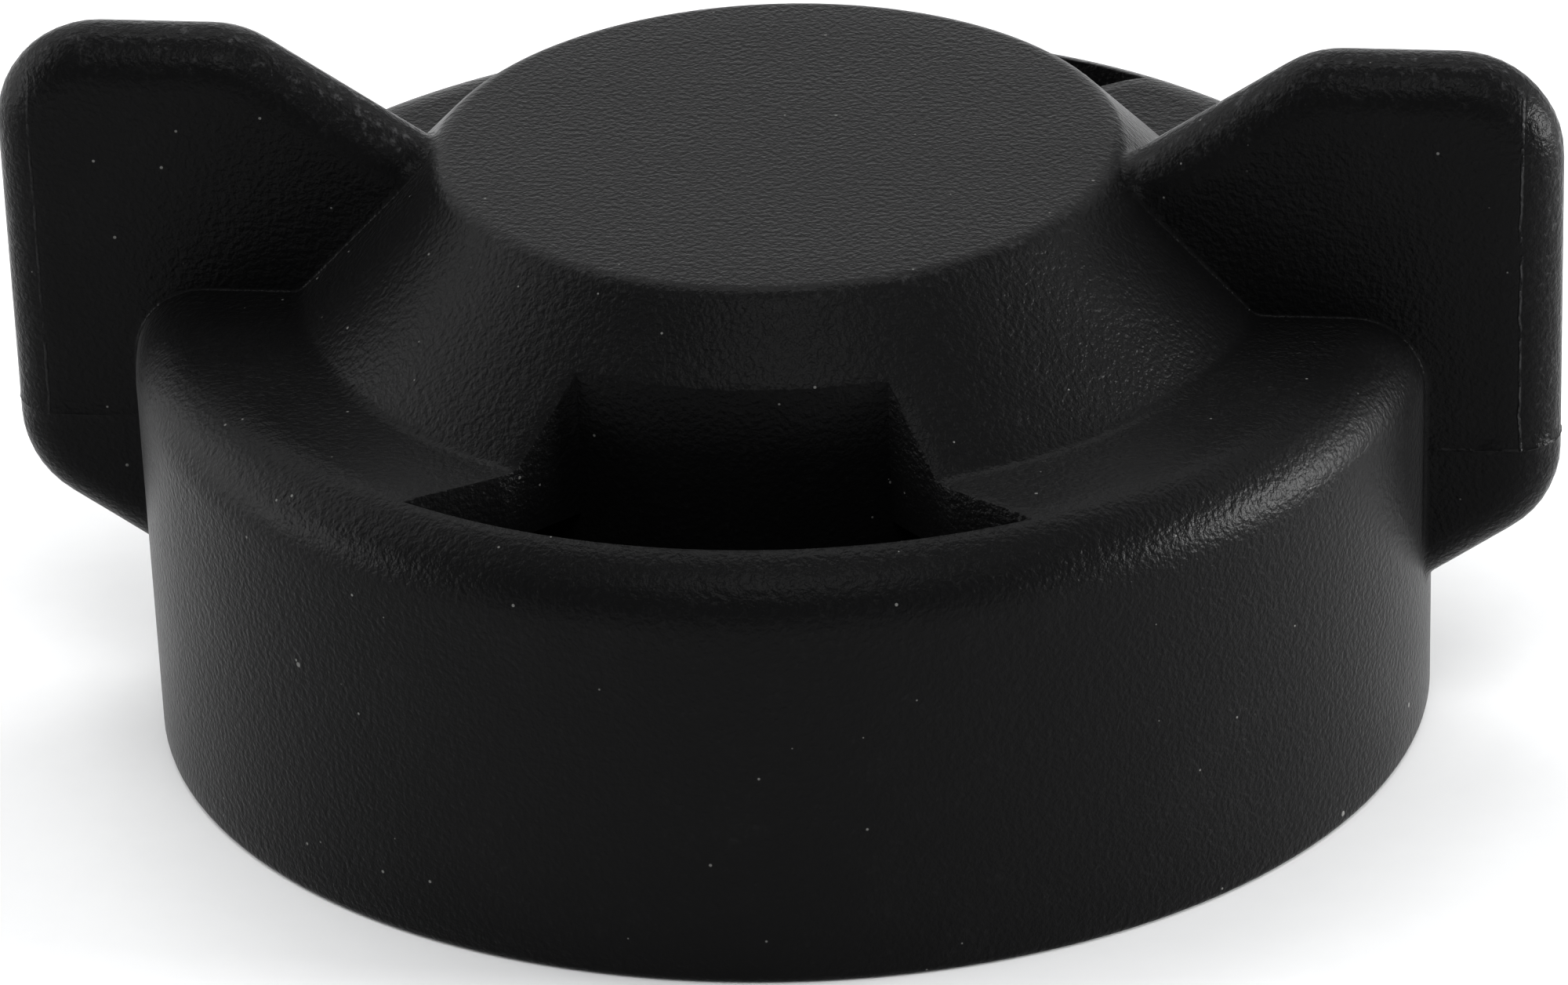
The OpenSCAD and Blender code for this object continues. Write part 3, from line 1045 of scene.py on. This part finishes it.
def add_softbox(name, azimuth, elevation, watts):
    """A square softbox that faces the cap."""
    data = bpy.data.lights.new(name, "AREA")
    data.shape = "SQUARE"
    data.size = SOFTBOX_SIZE
    data.energy = watts
    light = bpy.data.objects.new(name, data)
    turn = Matrix.Rotation(math.radians(azimuth + 90), 4, "Z")
    turn = turn @ Matrix.Rotation(math.radians(90 - elevation), 4, "X")
    aim = Vector((0, 0, (CAP_LOW.z + CAP_HIGH.z) / 2))
    light.matrix_world = Matrix.Translation(aim) @ turn @ Matrix.Translation((0, 0, SOFTBOX_DISTANCE))
    bpy.context.scene.collection.objects.link(light)


def add_camera(studio):
    """The camera, set round a point on the turning axis."""
    data = bpy.data.cameras.new("camera")
    data.lens = studio.lens
    data.sensor_width = 36.0
    data.clip_start = 0.01
    data.clip_end = 10.0
    camera = bpy.data.objects.new("camera", data)
    bpy.context.scene.collection.objects.link(camera)
    orbit = Matrix.Rotation(studio.azimuth, 4, "Z")
    orbit = orbit @ Matrix.Rotation(math.pi / 2 - studio.elevation, 4, "X")
    turn = Matrix.Rotation(studio.yaw, 4, "Y") @ Matrix.Rotation(studio.pitch, 4, "X")
    turn = turn @ Matrix.Rotation(studio.roll, 4, "Z")
    aim = Matrix.Translation((0, 0, studio.aim))
    camera.matrix_world = aim @ orbit @ Matrix.Translation((0, 0, studio.distance)) @ turn
    bpy.context.scene.camera = camera


class WINGEDCAP_PT_panel(bpy.types.Panel):
    """The cap's pieces, sizes, finishes and studio"""

    bl_idname = "WINGEDCAP_PT_panel"
    bl_label = "Winged Cap"
    bl_space_type = "VIEW_3D"
    bl_region_type = "UI"
    bl_category = "Winged Cap"

    def draw(self, context):
        for operator in OPERATORS:
            self.layout.operator(operator.bl_idname)
        for name, group in GROUPS.items():
            box = self.layout.box()
            for label in group.__annotations__:
                box.prop(getattr(context.scene, name), label)


OPERATORS = (WINGEDCAP_OT_cap, WINGEDCAP_OT_gasket, WINGEDCAP_OT_studio)
GROUPS = {"cap_sizes": CapSizes, "wing_sizes": WingSizes, "inside_sizes": InsideSizes,
          "gasket_sizes": GasketSizes, "finishes": Finishes, "studio_settings": StudioSettings}
CLASSES = (*GROUPS.values(), *OPERATORS, WINGEDCAP_PT_panel)


def register():
    for cls in CLASSES:
        bpy.utils.register_class(cls)
    for name, group in GROUPS.items():
        setattr(bpy.types.Scene, name, PointerProperty(type=group))


def unregister():
    for name in GROUPS:
        delattr(bpy.types.Scene, name)
    for cls in reversed(CLASSES):
        bpy.utils.unregister_class(cls)


def main():
    register()
    bpy.ops.winged_cap.cap()
    bpy.ops.winged_cap.gasket()
    bpy.ops.winged_cap.studio()


if __name__ == "__main__":
    main()
